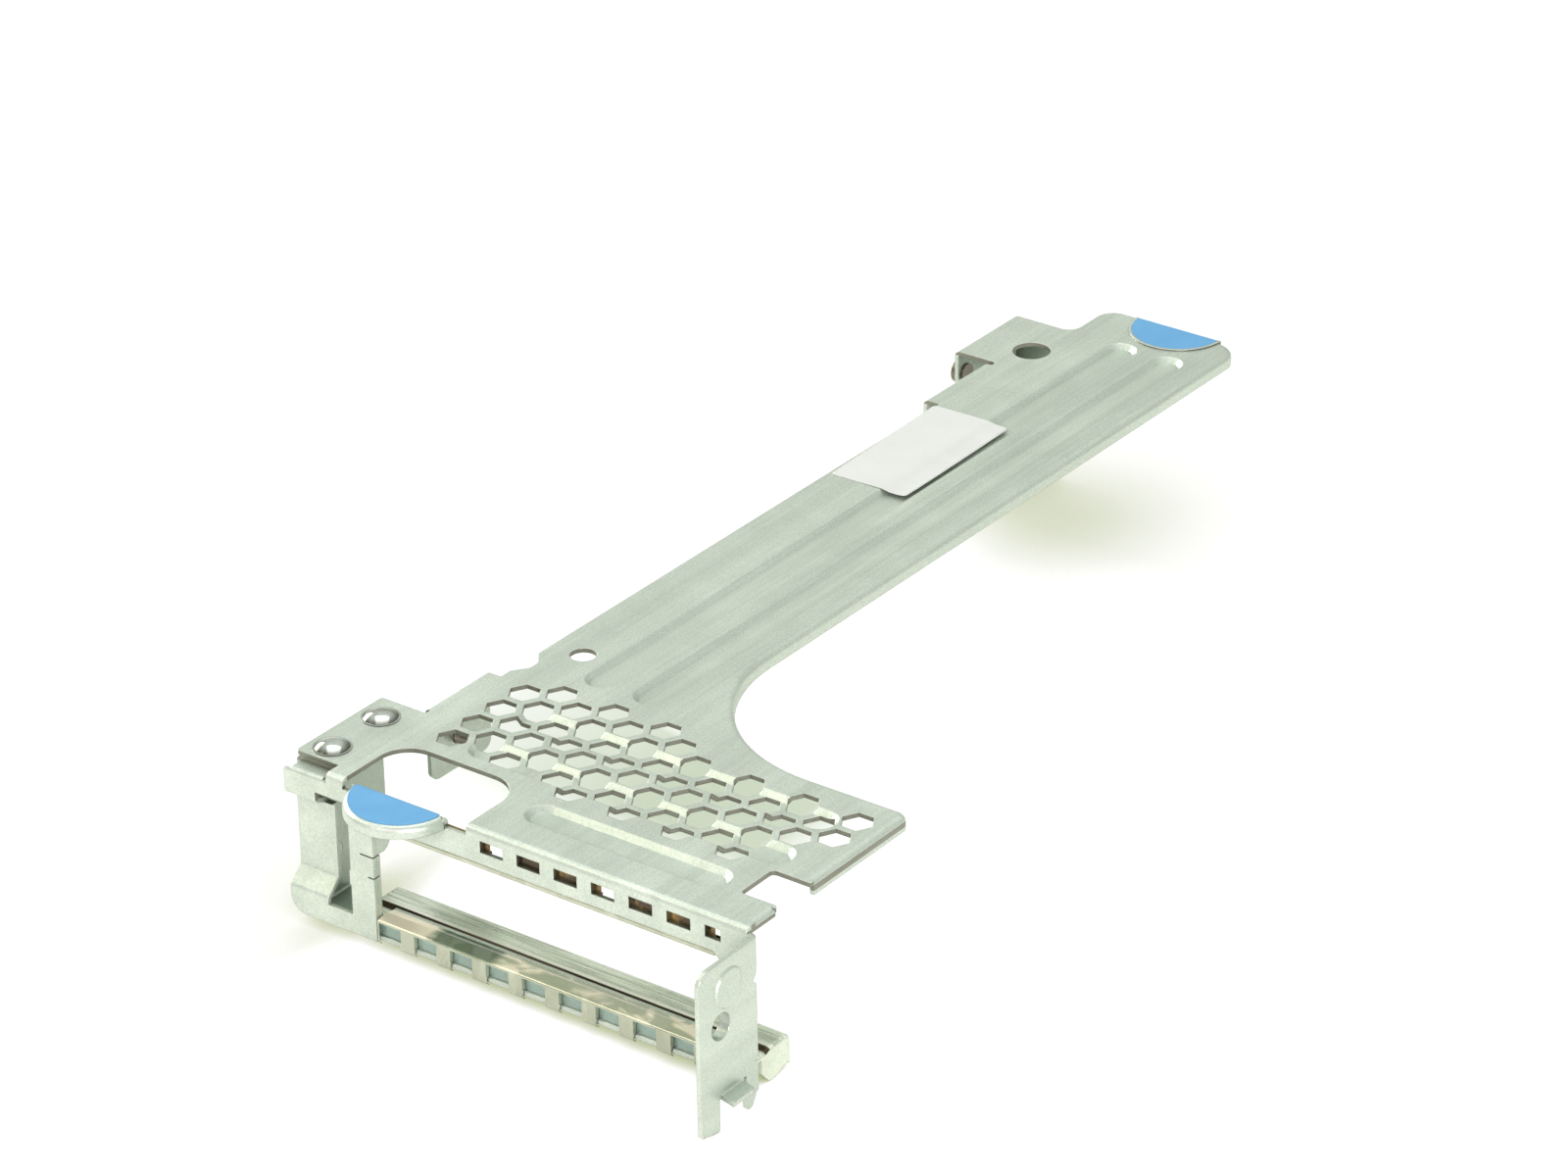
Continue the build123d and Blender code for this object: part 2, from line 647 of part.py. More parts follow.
def corner_bracket():
    """Bracket riveted under the ear: side wall, and a floor that rests on the board."""
    middle = SHEET / 2
    points = [
        (EAR_RIGHT, -SHEET - middle),
        (middle, -SHEET - middle),
        (middle, -HEIGHT + middle),
        (CORNER_FLOOR_RIGHT, -HEIGHT + middle),
    ]
    shape = side_plate(
        [
            (EAR_FRONT, 0),
            (CORNER_REAR, 0),
            (CORNER_REAR, CORNER_WALL_BOTTOM, CORNER_ROUND),
            (CORNER_FLOOR_REAR, CORNER_WALL_BOTTOM),
            (CORNER_FLOOR_REAR, -HEIGHT),
            (CORNER_WALL_FRONT, -HEIGHT),
            (CORNER_WALL_FRONT, -CORNER_STEP),
            (EAR_FRONT, -CORNER_STEP),
        ],
        (-1, CORNER_FLOOR_RIGHT + 1),
    )
    bracket = along_y(points, (EAR_FRONT, CORNER_REAR)) & shape
    bracket -= rod_x(CORNER_HOLE_RADIUS, (-1, 2), *CORNER_HOLE)
    for y in RIVET_Y:
        bracket -= rod_z(RIVET_HOLE, RIVET_X, y, (-3, 0))
    return bracket


def corner_rivet(y, grip):
    """Domed rivet through the ear and the sheets below it."""
    rise = DOME - RIVET_RIM_THICK
    dome_radius = (RIVET_HEAD**2 + rise**2) / (2 * rise)
    rim = RIVET_HEAD + RIVET_RIM
    tail = RIVET_SHANK + RIVET_TAIL
    tail_end = -grip - RIVET_TAIL_THICK
    section = make_face(
        Curve()
        + [
            RadiusArc((0, DOME), (RIVET_HEAD, RIVET_RIM_THICK), dome_radius),
            Polyline(
                (RIVET_HEAD, RIVET_RIM_THICK),
                (rim, RIVET_RIM_THICK),
                (rim, 0),
                (RIVET_SHANK, 0),
                (RIVET_SHANK, -grip),
                (tail, -grip),
                (tail, tail_end),
                (0, tail_end),
                (0, DOME),
            ),
        ]
    )
    return Pos(RIVET_X, y) * revolve(Plane.XZ * section, Axis.Z)


def slot_rail():
    """Rail under the lip that carries the foot of the card's cover, folded down at the rear."""
    middle = SHEET / 2
    under = BAR_TOP - SHEET - middle
    rail = along_x(
        [
            (RAIL_FRONT, under),
            (RAIL_STEP_START, under),
            (RAIL_STEP_END, under + RAIL_STEP),
            (RAIL_REAR - middle, under + RAIL_STEP),
            (RAIL_REAR - middle, -HEIGHT + RAIL_CLEARANCE),
        ],
        (RAIL_LEFT, RAIL_RIGHT),
    )
    top = BAR_TOP - SHEET
    end = side_plate(
        [
            (RAIL_END_FRONT, top),
            (RAIL_STEP_END, top),
            (RAIL_STEP_END + RAIL_STEP, top + RAIL_STEP),
            (RAIL_REAR, top + RAIL_STEP, FLAT_START),
            (RAIL_REAR, -HEIGHT + 1.7, 0.8),
            (RAIL_HEEL[1], -HEIGHT, 0.8),
            (RAIL_HEEL[0], -HEIGHT + 0.5),
            (RAIL_END_FRONT, RAIL_HEEL_TOP),
        ],
        (RAIL_RIGHT - SHEET, RAIL_RIGHT),
    )
    rail += end
    top_edge = rail.edges().filter_by(Axis.Y).group_by(Axis.X)[-1].group_by(Axis.Z)[-1]
    return fillet(top_edge, SHEET)


def contact_cutters(y, z, end):
    """Windows between the contact fingers of a gasket, at the contact pitch."""
    start = SLOT_LEFT + CONTACT_START + CONTACT_EDGE
    return [
        block((left, left + CONTACT_WINDOW), y, z)
        for left in (start + CONTACT_PITCH * index for index in range(end))
    ]


def lower_gasket():
    """Spring strip clipped over the lip, with contact fingers down the front of the bar."""
    half = GASKET_SHEET / 2
    left = SLOT_LEFT + CONTACT_START
    strip = along_x(
        [
            (LIP_REAR - 1.2, BAR_TOP + half),
            (LIP_REAR - 2.0, BAR_TOP + half),
            (LIP_REAR - 3.2, BAR_TOP + GASKET_CREST),
            (half, BAR_TOP + GASKET_CREST / 4),
            (half, BAR_BOTTOM + 0.2),
            (0.9, BAR_BOTTOM - 0.5),
        ],
        (left, left + CONTACT_PITCH * CONTACTS),
        sheet=GASKET_SHEET,
        radius=0.3,
    )
    strip -= contact_cutters((-1, BAR_SETBACK), (BAR_BOTTOM - 2, BAR_TOP - 0.3), CONTACTS)
    for index in range(1, CONTACTS):
        right = left + CONTACT_EDGE + CONTACT_PITCH * index
        side = (right - GASKET_SHEET, right)
        rise = (BAR_BOTTOM + 2 * HEM_RADIUS + GASKET_GAP, BAR_TOP - GASKET_GAP)
        strip += block(side, (half, BAR_SETBACK - GASKET_GAP), rise)
    return strip


def upper_gasket():
    """Spring strip under the slot's top edge, with clips that stand behind the face strip."""
    half = GASKET_SHEET / 2
    back = SHEET + half
    fold = STRIP_BOTTOM - 0.3
    strip = along_x(
        [(back, fold + 2), (back, fold), (0.4, fold), (0.4, fold - 1), (3.0, fold - 1), (3.6, fold + 1.6)],
        (SLOT_LEFT + CONTACT_START, SLOT_RIGHT - SLOT_CORNER),
        sheet=GASKET_SHEET,
        radius=0.15,
    )
    strip -= contact_cutters((1.6, 5), (fold - 3, fold + 3), CONTACTS)
    for index in range(CONTACTS // CLIP_CONTACTS):
        start = GASKET_CLIP_START + CLIP_CONTACTS * CONTACT_PITCH * index
        strip += block((start, start + GASKET_CLIP), (SHEET, SHEET + GASKET_SHEET), (fold, STRIP_TOP + 0.2))
    return strip


def front_pad():
    """Thin pad on the front touch tab that follows the bend at its rear."""
    half = PAD_THICK / 2
    line = [(SHEET + half, -FLAT_START - 1), (SHEET + half, half), (TOUCH_Y - TOUCH_RADIUS, half)]
    film = along_x(
        line, (TOUCH_X - PAD_RADIUS, TOUCH_X + PAD_RADIUS), sheet=PAD_THICK, radius=FLAT_START
    )
    front = Pos(TOUCH_X, SHEET) * Rectangle(3 * PAD_RADIUS, 3 * PAD_RADIUS, align=(Align.CENTER, Align.MAX))
    half = front & Pos(TOUCH_X, TOUCH_Y) * Circle(PAD_RADIUS)
    outline = fillet(half.vertices(), PAD_CORNER)
    return film & extrude(Pos(0, 0, -FLAT_START) * outline, FLAT_START + 1)


def rear_pad():
    """Thin half-round pad at the plate's rear edge."""
    disc = rod_z(PAD_RADIUS, REAR_PAD_X, LENGTH, (0, PAD_THICK))
    return disc & block((0, WIDTH), (0, LENGTH - 0.2), (0, PAD_THICK))


def riser_screw(y):
    """Pan-head screw through a side flange; its thread shows inside."""
    thread_start = SIDE_LEFT + SHEET + 0.2
    tip = thread_start + SCREW_REACH
    head = SIDE_LEFT - SCREW_HEAD_THICK
    profile = [(head, 0), (head, SCREW_HEAD - SCREW_HEAD_ROUND), (head + SCREW_HEAD_ROUND, SCREW_HEAD)]
    profile += [(SIDE_LEFT, SCREW_HEAD), (SIDE_LEFT, SCREW_RADIUS), (thread_start, SCREW_RADIUS)]
    for index in range(int(SCREW_REACH / SCREW_PITCH) - 1):
        start = thread_start + SCREW_PITCH * index
        profile.append((start + SCREW_PITCH / 2, SCREW_RADIUS - SCREW_ROOT))
        profile.append((start + SCREW_PITCH, SCREW_RADIUS))
    profile += [(tip, SCREW_RADIUS - 0.5), (tip, 0)]
    section = make_face(Polyline(*profile, close=True))
    width, depth = SCREW_DRIVE
    slot = block((head - 1, head + depth), (-width / 2, width / 2), (-SCREW_HEAD, SCREW_HEAD))
    body = revolve(Plane.XZ * section, Axis.X) - slot
    return Pos(0, y, SCREW_Z) * body


def locating_stud():
    """Round stud on the outside of the rear leg."""
    y, z = STUD
    inside = TAB_LEFT + SHEET
    stud = rod_x(STUD_HEAD[0], (TAB_LEFT - STUD_HEAD[1], TAB_LEFT), y, z)
    stud += rod_x(SCREW_RADIUS, (TAB_LEFT, inside), y, z)
    return stud + rod_x(STUD_TAIL[0], (inside, inside + STUD_TAIL[1]), y, z)


def part_label():
    """Blank paper label across the arm's left bead."""
    sheet = Pos(*LABEL_CENTRE) * Rot(0, 0, LABEL_TURN) * Rectangle(*LABEL_SIZE)
    return extrude(sheet, LABEL_THICK, dir=(0, 0, 1))


os.makedirs("parts", exist_ok=True)
to_origin = Pos(-(WIDTH + FLANGE_TAB_REACH) / 2, -(LENGTH + FLANGE_FRONT) / 2, HEIGHT)
nodes = {
    "cage_frame": cage_frame(),
    "corner_bracket": corner_bracket(),
    "corner_rivet_front": corner_rivet(RIVET_Y[0], 3 * SHEET),
    "corner_rivet_rear": corner_rivet(RIVET_Y[1], 2 * SHEET),
    "slot_rail": slot_rail(),
    "lower_emi_gasket": lower_gasket(),
    "upper_emi_gasket": upper_gasket(),
    "front_touch_pad": front_pad(),
    "rear_touch_pad": rear_pad(),
    "riser_screw_front": riser_screw(SCREW_Y[0]),
    "riser_screw_rear": riser_screw(SCREW_Y[1]),
    "locating_stud": locating_stud(),
    "part_label": part_label(),
}
for name, shape in nodes.items():
    export_step(to_origin * shape, f"parts/{name}.step")
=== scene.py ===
import math

import bmesh
import bpy
from mathutils import Matrix, Vector


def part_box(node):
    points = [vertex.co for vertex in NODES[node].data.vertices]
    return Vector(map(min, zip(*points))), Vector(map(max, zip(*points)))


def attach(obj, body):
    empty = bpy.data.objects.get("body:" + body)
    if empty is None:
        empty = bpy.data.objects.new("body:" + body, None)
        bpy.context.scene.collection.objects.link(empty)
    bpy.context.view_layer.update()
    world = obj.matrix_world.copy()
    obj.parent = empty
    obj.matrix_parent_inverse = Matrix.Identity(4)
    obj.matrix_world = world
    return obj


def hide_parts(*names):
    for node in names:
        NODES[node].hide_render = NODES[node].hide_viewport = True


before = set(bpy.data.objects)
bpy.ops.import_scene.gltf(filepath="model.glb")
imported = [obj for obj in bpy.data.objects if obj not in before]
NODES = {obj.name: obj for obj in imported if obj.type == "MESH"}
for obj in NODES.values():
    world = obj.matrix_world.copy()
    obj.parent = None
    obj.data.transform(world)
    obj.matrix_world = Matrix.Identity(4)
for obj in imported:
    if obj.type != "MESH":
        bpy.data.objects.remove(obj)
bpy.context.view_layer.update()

MM = 0.001

# Camera that took the photograph: its turn in degrees, its lens and sensor in millimetres
CAMERA_PLACE = Vector((652.6, -908.2, 626.4)) * MM
CAMERA_TURN = (62.409, 0.877, 36.481)
LENS = 133.7
SENSOR = 36.0
CAMERA_REACH = 20.0

# Lamps: place, aim and size in metres, power in watts, and colour
PART_MIDDLE = (0, -0.03, 0.02)
SCREW_FLANGE = (0.06, -0.14, 0.02)
WHITE_LIGHT = (1, 1, 1)
LAMPS = {
    "front soft box": ((0.35, -1.35, 0.75), PART_MIDDLE, (1.8, 1.0), 9.2, (1.0, 0.83, 0.92)),
    "top soft box": ((-0.1, 0.1, 1.5), PART_MIDDLE, (1.2, 1.2), 7, WHITE_LIGHT),
    "left soft box": ((-1.4, 0.1, 0.6), PART_MIDDLE, (0.9, 0.5), 12, WHITE_LIGHT),
    "right card": ((0.5, -0.5, 0.2), SCREW_FLANGE, (0.3, 0.2), 2.3, (0.94, 0.92, 1.0)),
    "small warm lamp": ((-0.8, -0.7, 1.06), PART_MIDDLE, (0.35, 0.35), 1.2, (1.0, 0.88, 0.66)),
}

# Pale tent round the part, which pales with height, and the dark room that metal mirrors
TENT_LOW = (0.66, 0.68, 0.64, 1)
TENT_HIGH = (0.96, 0.98, 0.95, 1)
TENT_PALES = (0.2, 0.9)
ROOM_DARK = (0.035, 0.030, 0.022, 1)
ROOM_OPENS = (0.78, 0.90)
TENT_STRENGTH = 0.82
WHITE = (1, 1, 1, 1)

# Floor, and the shade on it where the part stands near
FLOOR_SIZE = 6.0
FLOOR_PLAIN = (0.80, 0.80, 0.76, 1)
FLOOR_ROUGHNESS = 0.9
FLOOR_MATTE = (0.10, 0.10, 0.10, 1)
FLOOR_SHADE = (0.30, 0.36, 0.08, 1)
SHADOW_REACH = 0.05
SHADOW_BEHIND = (0.07, 0.11)
SHADOW_BENEATH = (-0.045, -0.055)
OPEN_IN_FRONT = 0.40
OPEN_BEHIND = 1.0

# Shade on the floor that shows through the vents, with the stretch in which each side fades in
VENT_SHADE = (0.53, 0.61, 0.46, 1)
VENT_SHADE_LEFT = (-0.098, -0.086)
VENT_SHADE_RIGHT = (0.012, -0.002)
VENT_SHADE_FRONT = (-0.066, -0.052)
VENT_SHADE_REAR = (-0.023, -0.028)
VENT_SHADE_SLANT = 0.15
VENT_SHADE_DEEPENS = (-0.092, -0.035)
VENT_SHADE_LEAST = 0.4

# Places on the part, in metres, worked out from the frame
PLATE_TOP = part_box("rear_touch_pad")[0][2]
FRONT_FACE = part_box("corner_bracket")[0][1] - 4.3 * MM
UPPER_GASKET_INSIDE = PLATE_TOP - 7.4 * MM
# Step along the rail, where a painted shadow line and a painted highlight lie
RAIL_STEP = [FRONT_FACE + depth * MM for depth in (6.4, 8.1, 9.0)]
STEP_SOFT = 0.15 * MM

# Bar set back behind the face, which takes painted shade: heights from the plate's top, depths from the
# front face
BAR_TOP = -31.4 * MM
BAR_FACE = (1.1 * MM, 1.3 * MM)

# Cut edges of the sheet, which take raw steel and painted shade, measured the same way, and the slopes that
# count as an edge
PLATE_EDGE = (-1.02 * MM, 0.2 * MM)
VENT_EDGE_LOW = -2.27 * MM
VENTS_REAR = 54.5 * MM
FACE_REAR = 1.6 * MM
FACE_EDGE = (0.03 * MM, 0.97 * MM)
STRIP = (-7.8 * MM, -1.7 * MM)
EDGE_SOFT = 0.02 * MM
UPRIGHT = 0.3
SIDEWAYS = 0.9
LEVEL = 0.5

# Blank label
LABEL_SIZE = (20.5 * MM, 42.3 * MM)
LABEL_TURN = 1.5
LABEL_THICK = 0.12 * MM
LABEL_GAP = 0.04 * MM
LABEL_LIFT = 0.25 * MM
LABEL_DIP = 0.5 * MM
LABEL_CORNER = 0.9 * MM
LABEL_COLUMNS = 28
LABEL_ROWS = 48
BEAD_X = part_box("rear_touch_pad")[0][0] + 6.1 * MM
BEAD_HALF = 2.9 * MM

# Sheet steel, as linear colours
ZINC = (0.590, 0.672, 0.575, 1)
ZINC_PALE = (0.705, 0.780, 0.685, 1)
ZINC_STAIN = (0.440, 0.505, 0.430, 1)
ZINC_METALLIC = 0.72
# Rail zinc, paler than the sheet: partly its colour, partly painted sheen
RAIL_ZINC_AND_SHEEN = (0.82, 0.92, 0.74, 1)
RAIL_ZINC_AND_SHEEN_PALE = (0.96, 1.00, 0.86, 1)
# Painted highlight along the rail's step
STEP_PAINTED_HIGHLIGHT = (1.0, 0.99, 0.88, 1)
# Cut edges: raw steel, darkened further as painted shade inside the holes
CUT_STEEL_AND_SHADE = (0.195, 0.190, 0.145, 1)
# Warm colour on edges and folds: partly worn metal, partly a painted highlight along folds
WARM_EDGE_WORN_AND_HIGHLIGHT = (0.70, 0.60, 0.43, 1)
# Painted shade, multiplied in: a tint for corners and the set-back bar, a darker one for deep hollows, and
# how far the occlusion looks
RECESS_PAINTED_SHADE = (0.55, 0.65, 0.66, 1)
DEEP_PAINTED_SHADE = (0.34, 0.30, 0.26, 1)
PAINTED_SHADE_REACH = 20 * MM

# Rivets, stud and screws
BRIGHT_STEEL = (0.74, 0.80, 0.74, 1)
RIVET_SHADE = (0.44, 0.46, 0.37, 1)
# Painted dark reflection where the rivet domes steepen toward their base
RIVET_PAINTED_DARK_REFLECTION = (0.045, 0.040, 0.028, 1)
DOME_STEEPENS = (0.93, 0.78)
SCREW_STEEL = (0.40, 0.37, 0.30, 1)
# Screws: a darker tone, also used as their painted dark where they steepen
SCREW_TONE_AND_PAINTED_DARK = (0.22, 0.20, 0.16, 1)

# Spring strips: painted reflections in patches on their tops, a dark painted reflection along a stretch of
# the lower one between two places along it, and painted shade inside the face
SPRING_STEEL = (0.96, 0.89, 0.68, 1)
GREENISH_PAINTED_REFLECTION = (0.62, 0.64, 0.49, 1)
DARK_STRETCH_PAINTED_REFLECTION = (0.20, 0.25, 0.175, 1)
SPRING_FINGER = (0.57, 0.61, 0.48, 1)
SPRING_FINGER_DULL = (0.46, 0.49, 0.37, 1)
# Painted shade inside the face and along the rail's step, with painted golden glints in it
DARK_PAINTED_SHADE = (0.070, 0.052, 0.030, 1)
GOLD_PAINTED_GLINT = (0.30, 0.20, 0.07, 1)
DARK_STRETCH_START = -26 * MM
DARK_STRETCH_END = -7.5 * MM

# Touch points and label
TOUCH_BLUE = (0.095, 0.310, 0.550, 1)
TOUCH_BLUE_RUBBED = (0.115, 0.340, 0.580, 1)
PAPER = (0.62, 0.64, 0.61, 1)
PAPER_SHADE = (0.58, 0.60, 0.57, 1)


def new_group(name, inputs, outputs):
    """An empty shader group with named float, colour or vector sockets."""
    group = bpy.data.node_groups.new(name, "ShaderNodeTree")
    kinds = {"float": "NodeSocketFloat", "colour": "NodeSocketColor", "vector": "NodeSocketVector"}
    for label, kind, default in inputs:
        socket = group.interface.new_socket(label, in_out="INPUT", socket_type=kinds[kind])
        if default is not None:
            socket.default_value = default
    for label, kind in outputs:
        group.interface.new_socket(label, in_out="OUTPUT", socket_type=kinds[kind])
    enter = group.nodes.new("NodeGroupInput")
    leave = group.nodes.new("NodeGroupOutput")
    return group, enter.outputs, leave.inputs


def put(tree, kind, settings=None, **links):
    """Adds a node; settings are its properties and links its inputs by socket name."""
    node = tree.nodes.new(kind)
    for name, value in (settings or {}).items():
        setattr(node, name, value)
    for name, value in links.items():
        wire(tree, node.inputs[name.replace("_", " ")], value)
    return node


def wire(tree, socket, value):
    """Joins a socket to another node's output, or sets its value."""
    if isinstance(value, bpy.types.NodeSocket):
        tree.links.new(value, socket)
    else:
        socket.default_value = value


def math_node(tree, operation, first, second=0.0, clamp=False):
    """The result of a sum on one or two values."""
    node = tree.nodes.new("ShaderNodeMath")
    node.operation = operation
    node.use_clamp = clamp
    wire(tree, node.inputs[0], first)
    wire(tree, node.inputs[1], second)
    return node.outputs[0]


def multiply(tree, first, *others):
    """Several values multiplied together."""
    for other in others:
        first = math_node(tree, "MULTIPLY", first, other)
    return first


def vector_node(tree, operation, *values):
    """The results of a sum on vectors."""
    node = put(tree, "ShaderNodeVectorMath", {"operation": operation})
    for socket, value in zip(node.inputs, values):
        wire(tree, socket, value)
    return node.outputs


def mix_colour(tree, factor, first, second, blend="MIX"):
    """Two colours mixed by a factor."""
    node = tree.nodes.new("ShaderNodeMix")
    node.data_type = "RGBA"
    node.blend_type = blend
    wire(tree, node.inputs[0], factor)
    wire(tree, node.inputs[6], first)
    wire(tree, node.inputs[7], second)
    return node.outputs[2]


def remap(tree, value, low, high, to_low=0.0, to_high=1.0):
    """A value carried from one range to another, and held at its ends."""
    node = tree.nodes.new("ShaderNodeMapRange")
    wire(tree, node.inputs["Value"], value)
    for label, number in zip(("From Min", "From Max", "To Min", "To Max"), (low, high, to_low, to_high)):
        wire(tree, node.inputs[label], number)
    return node.outputs[0]


def follow(tree, noise, least, most):
    """A value that follows the middle range of a noise."""
    return remap(tree, noise, 0.3, 0.7, least, most)


def split(tree, vector):
    """The X, Y and Z of a vector."""
    return put(tree, "ShaderNodeSeparateXYZ", Vector=vector).outputs


def facing(tree, normal="True Normal"):
    """The X, Y and Z of the direction that the surface faces."""
    return split(tree, put(tree, "ShaderNodeNewGeometry").outputs[normal])


def turn_level(tree, vector, angle):
    """A vector turned about the upright axis, by an angle in radians."""
    turned = put(tree, "ShaderNodeVectorRotate", {"rotation_type": "Z_AXIS"}, Vector=vector, Angle=angle)
    return turned.outputs[0]


def from_corner(tree, position):
    """How far a point is above the plate's top, and how far back from the front face."""
    place = split(tree, position)
    above = math_node(tree, "SUBTRACT", place["Z"], PLATE_TOP)
    behind = math_node(tree, "SUBTRACT", place["Y"], FRONT_FACE)
    return above, behind


def use(tree, group, **values):
    """Places a shared group in a tree with its own values."""
    node = tree.nodes.new("ShaderNodeGroup")
    node.node_tree = group
    for name, value in values.items():
        wire(tree, node.inputs[name.replace("_", " ")], value)
    return node.outputs


def make_rolled_grain():
    """Fine parallel lines that the rolling mill leaves in sheet."""
    group, enter, leave = new_group(
        "rolled grain",
        [("Position", "vector", None), ("Lines per metre", "float", 1400.0), ("Stretch", "float", 0.03)],
        [("Lines", "float"), ("Bands", "float")],
    )
    stretch = put(group, "ShaderNodeCombineXYZ", X=1.0, Y=enter["Stretch"], Z=1.0).outputs[0]
    drawn = vector_node(group, "MULTIPLY", enter["Position"], stretch)[0]
    wide = multiply(group, enter["Lines per metre"], 0.12)
    lines = put(group, "ShaderNodeTexNoise", Vector=drawn, Scale=enter["Lines per metre"], Detail=3.0)
    bands = put(group, "ShaderNodeTexNoise", Vector=drawn, Scale=wide, Detail=2.0)
    wire(group, leave["Lines"], lines.outputs[0])
    wire(group, leave["Bands"], bands.outputs[0])
    return group


def make_zinc_bloom():
    """Soft cloudy patches of a zinc coat, with a fine speckle."""
    group, enter, leave = new_group(
        "zinc bloom",
        [("Position", "vector", None), ("Patches per metre", "float", 60.0)],
        [("Clouds", "float"), ("Speckle", "float")],
    )
    place = enter["Position"]
    patches = enter["Patches per metre"]
    fine = multiply(group, patches, 40.0)
    clouds = put(group, "ShaderNodeTexNoise", Vector=place, Scale=patches, Detail=5.0, Roughness=0.62)
    speckle = put(group, "ShaderNodeTexNoise", Vector=place, Scale=fine, Detail=2.0)
    wire(group, leave["Clouds"], clouds.outputs[0])
    wire(group, leave["Speckle"], speckle.outputs[0])
    return group


def make_edge_mask():
    """Finds sharp edges and folds: a mask that is 1 on them, and a normal that rounds them."""
    group, enter, leave = new_group(
        "edge wear",
        [("Width", "float", 0.4 * MM), ("Rounding", "float", 0.3 * MM), ("Breakup", "float", 0.5)],
        [("Mask", "float"), ("Rounded normal", "vector")],
    )
    wide = put(group, "ShaderNodeBevel", {"samples": 4}, Radius=enter["Width"]).outputs[0]
    narrow = put(group, "ShaderNodeBevel", {"samples": 4}, Radius=enter["Rounding"]).outputs[0]
    true = put(group, "ShaderNodeNewGeometry").outputs["Normal"]
    bend = math_node(group, "SUBTRACT", 1.0, vector_node(group, "DOT_PRODUCT", wide, true)["Value"])
    broken = follow(group, enter["Breakup"], 0.5, 1.3)
    mask = math_node(group, "MULTIPLY", remap(group, bend, 0.01, 0.22), broken, clamp=True)
    wire(group, leave["Mask"], mask)
    wire(group, leave["Rounded normal"], narrow)
    return group


def make_between():
    """1 where a value lies between two limits, with soft ends."""
    group, enter, leave = new_group(
        "between",
        [
            ("Value", "float", 0.0), ("Low", "float", 0.0),
            ("High", "float", 1.0), ("Softness", "float", EDGE_SOFT),
        ],
        [("Mask", "float")],
    )
    ends = []
    for first, second in (("Value", "Low"), ("High", "Value")):
        past = math_node(group, "SUBTRACT", enter[first], enter[second])
        ends.append(remap(group, math_node(group, "DIVIDE", past, enter["Softness"]), 0.0, 1.0))
    wire(group, leave["Mask"], multiply(group, *ends))
    return group


def make_cut_edges(between):
    """Punched edges of the sheet, for raw steel and painted shade: walls across the plate's thickness and
    the sideways walls across the face's.
    """
    group, enter, leave = new_group("cut edges", [("Position", "vector", None)], [("Mask", "float")])
    above, behind = from_corner(group, enter["Position"])
    faces = facing(group)
    upright = math_node(group, "LESS_THAN", math_node(group, "ABSOLUTE", faces["Z"]), UPRIGHT)
    # Only sideways walls in the face take the dark; walls facing up are left out as if lit: painted shade
    sideways = math_node(group, "GREATER_THAN", math_node(group, "ABSOLUTE", faces["X"]), SIDEWAYS)
    among_vents = math_node(group, "LESS_THAN", behind, VENTS_REAR)
    lowest = remap(group, among_vents, 0.0, 1.0, PLATE_EDGE[0], VENT_EDGE_LOW)
    in_plate = use(group, between, Value=above, Low=lowest, High=PLATE_EDGE[1])["Mask"]
    past_face = math_node(group, "GREATER_THAN", behind, FACE_REAR)
    in_face = use(group, between, Value=behind, Low=FACE_EDGE[0], High=FACE_EDGE[1])["Mask"]
    in_strip = use(group, between, Value=above, Low=STRIP[0], High=STRIP[1])["Mask"]
    plate = multiply(group, in_plate, upright, past_face)
    face = multiply(group, in_face, sideways, in_strip)
    wire(group, leave["Mask"], math_node(group, "MAXIMUM", plate, face))
    return group


def make_painted_shade(between):
    """Painted shade: darkening in deep corners found by occlusion, and on the bar set back behind the face.
    """
    group, enter, leave = new_group(
        "painted_shade", [("Position", "vector", None)], [("Mask", "float"), ("Depth", "float")]
    )
    reach = {"samples": 6, "only_local": True}
    open_sky = put(group, "ShaderNodeAmbientOcclusion", reach, Distance=PAINTED_SHADE_REACH).outputs["AO"]
    corner = remap(group, open_sky, 0.35, 0.85, 0.9, 0.0)
    above, behind = from_corner(group, enter["Position"])
    below = math_node(group, "LESS_THAN", above, BAR_TOP)
    set_back = use(group, between, Value=behind, Low=BAR_FACE[0], High=BAR_FACE[1])["Mask"]
    bar = multiply(group, set_back, below)
    wire(group, leave["Mask"], math_node(group, "MAXIMUM", corner, bar, clamp=True))
    wire(group, leave["Depth"], remap(group, open_sky, 0.3, 0.72, 1.0, 0.0))
    return group


def make_handling_marks():
    """Faint long scratches and rubbed patches from handling."""
    group, enter, leave = new_group(
        "handling marks",
        [("Position", "vector", None), ("Scratches per metre", "float", 90.0)],
        [("Scratches", "float"), ("Rubbed", "float")],
    )
    place = enter["Position"]
    warp = put(group, "ShaderNodeTexNoise", Vector=place, Scale=14.0, Detail=2.0).outputs["Color"]
    turned = turn_level(group, place, 0.5)
    bent = vector_node(group, "MULTIPLY_ADD", warp, (0.012, 0.012, 0.012), turned)[0]
    drawn = vector_node(group, "MULTIPLY", bent, (1.0, 0.06, 1.0))[0]
    cells = put(
        group, "ShaderNodeTexVoronoi", {"feature": "DISTANCE_TO_EDGE"},
        Vector=drawn, Scale=enter["Scratches per metre"],
    )
    lines = remap(group, cells.outputs["Distance"], 0.0, 0.012, 1.0, 0.0)
    patch = put(group, "ShaderNodeTexNoise", Vector=place, Scale=30.0, Detail=3.0).outputs[0]
    where = remap(group, patch, 0.52, 0.62)
    wire(group, leave["Scratches"], multiply(group, lines, where))
    wire(group, leave["Rubbed"], where)
    return group


